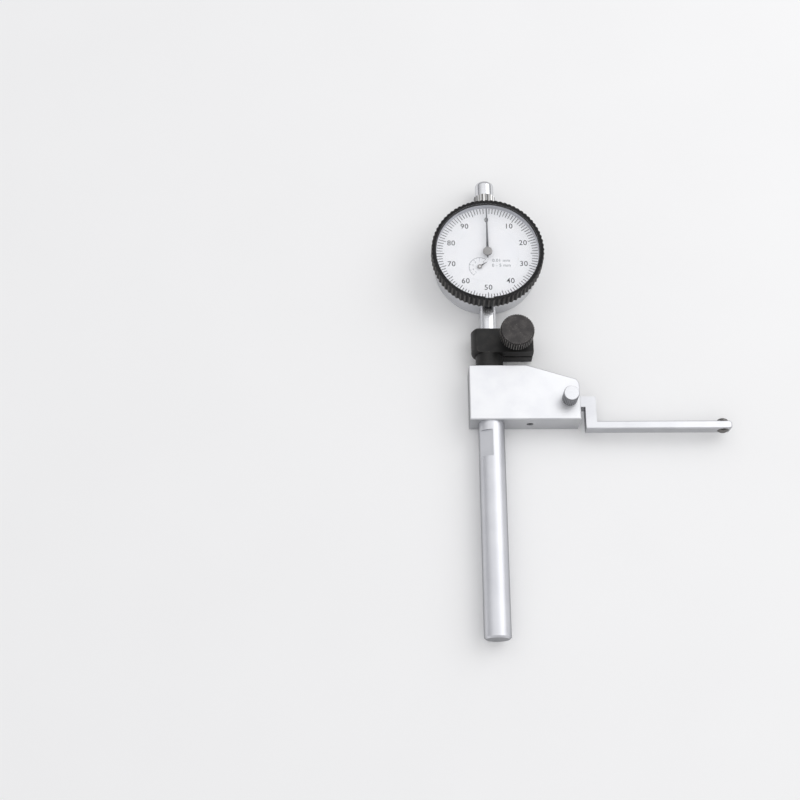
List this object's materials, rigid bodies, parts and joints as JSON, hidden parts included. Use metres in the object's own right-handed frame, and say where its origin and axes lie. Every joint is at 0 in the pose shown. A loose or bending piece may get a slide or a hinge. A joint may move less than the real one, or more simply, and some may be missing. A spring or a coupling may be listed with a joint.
{
  "type": "centering dial indicator",
  "caption": "Dial gauge clamped above a block with a straight shank; a cranked feeler arm pivots in the block and lifts the gauge's spindle.",
  "frame": {"origin": "centre of the shank's free end face", "axes": "+Y up the shank's axis towards the dial, +X along the feeler arm, +Z out of the dial's face"},
  "size_m": [0.1369, 0.2257, 0.025],
  "materials": {
    "satin_steel": "ground, with a fine satin grain",
    "turned_steel": "turned and polished",
    "tip_steel": "hardened, dark and smooth",
    "black_oxide": "black oxide, rubbed grey on the edges",
    "chrome": "bright plated",
    "black_anodised": "satin black",
    "brass": "polished",
    "spring_steel": "drawn wire",
    "dial_white": "matt white enamel",
    "hand_black": "satin black",
    "crystal": "clear and polished"
  },
  "bodies": {
    "frame": {"housing_block": "satin_steel", "shank": "turned_steel", "clamp_body": "black_oxide"},
    "stop_screw": {"stop_screw": "black_oxide"},
    "pivot_screw": {"pivot_screw": "chrome"},
    "clamp_knob": {"clamp_knob": "black_oxide"},
    "arm": {"feeler_arm": "satin_steel", "feeler_tip": "tip_steel"},
    "dial": {"dial_case": "chrome", "back_cover": "chrome", "cover_screws": "turned_steel", "stem": "chrome", "upper_bush": "turned_steel", "dust_cap": "chrome", "guide_block": "brass", "spring_post": "brass", "return_spring": "spring_steel", "front_plate": "brass", "plate_pillars": "brass", "plate_screws": "turned_steel", "rear_bridge": "brass", "bridge_pillars": "brass", "bridge_screws": "turned_steel", "hairspring": "spring_steel", "hairspring_stud": "brass", "dial_centre": "dial_white", "bezel_wire": "spring_steel"},
    "spindle": {"spindle": "turned_steel", "contact_point": "tip_steel", "guide_pin": "turned_steel"},
    "counter_arbor": {"rack_pinion": "turned_steel", "counter_wheel": "brass", "counter_hand": "hand_black"},
    "centre_arbor": {"centre_pinion": "turned_steel", "main_hand": "hand_black"},
    "takeup_arbor": {"takeup_arbor": "turned_steel", "takeup_wheel": "brass"},
    "bezel": {"bezel": "black_anodised", "crystal": "crystal", "dial_ring": "dial_white"}
  },
  "joints": [
    {"name": "arm_pivot", "type": "hinge", "parent": "frame", "child": "arm", "pos_m": [0.03575, 0.1086, 0], "axis": [0, 0, -1], "range_deg": [0, 7.25]},
    {"name": "stop_screw_turn", "type": "hinge", "parent": "frame", "child": "stop_screw", "pos_m": [0.0178, 0.0988, 0], "axis": [0, 1, 0], "range_deg": [-180, 180]},
    {"name": "pivot_screw_turn", "type": "hinge", "parent": "frame", "child": "pivot_screw", "pos_m": [0.03575, 0.1086, 0], "axis": [0, 0, 1], "range_deg": [0, 360]},
    {"name": "clamp_knob_turn", "type": "hinge", "parent": "frame", "child": "clamp_knob", "pos_m": [0.0121, 0.13865, 0], "axis": [0, 0, 1], "range_deg": [0, 360]},
    {"name": "dial_swivel", "type": "hinge", "parent": "frame", "child": "dial", "pos_m": [0, 0.14, 0], "axis": [0, 1, 0], "continuous": true},
    {"name": "spindle_slide", "type": "slide", "parent": "dial", "child": "spindle", "axis": [0, 1, 0], "range_m": [0, 0.0046], "stiffness_N_per_m": 50, "springref_m": -0.018, "deforming": ["return_spring"]},
    {"name": "counter_turn", "type": "hinge", "parent": "dial", "child": "counter_arbor", "pos_m": [-0.0038, 0.17528, 0], "axis": [0, 0, 1], "range_deg": [0, 165]},
    {"name": "pointer_turn", "type": "hinge", "parent": "dial", "child": "centre_arbor", "pos_m": [0, 0.1826, 0], "axis": [0, 0, -1], "range_deg": [0, 1650]},
    {"name": "takeup_turn", "type": "hinge", "parent": "dial", "child": "takeup_arbor", "pos_m": [0.00588, 0.18839, 0], "axis": [0, 0, 1], "range_deg": [0, 165]},
    {"name": "bezel_turn", "type": "hinge", "parent": "dial", "child": "bezel", "pos_m": [0, 0.1826, 0], "axis": [0, 0, 1], "continuous": true}
  ],
  "couplings": [
    {"joint": "spindle_slide", "follows": "arm_pivot", "m_per_rad": 0.036202},
    {"joint": "counter_turn", "follows": "arm_pivot", "ratio": 22.746},
    {"joint": "pointer_turn", "follows": "arm_pivot", "ratio": 227.46},
    {"joint": "takeup_turn", "follows": "arm_pivot", "ratio": 22.746}
  ]
}
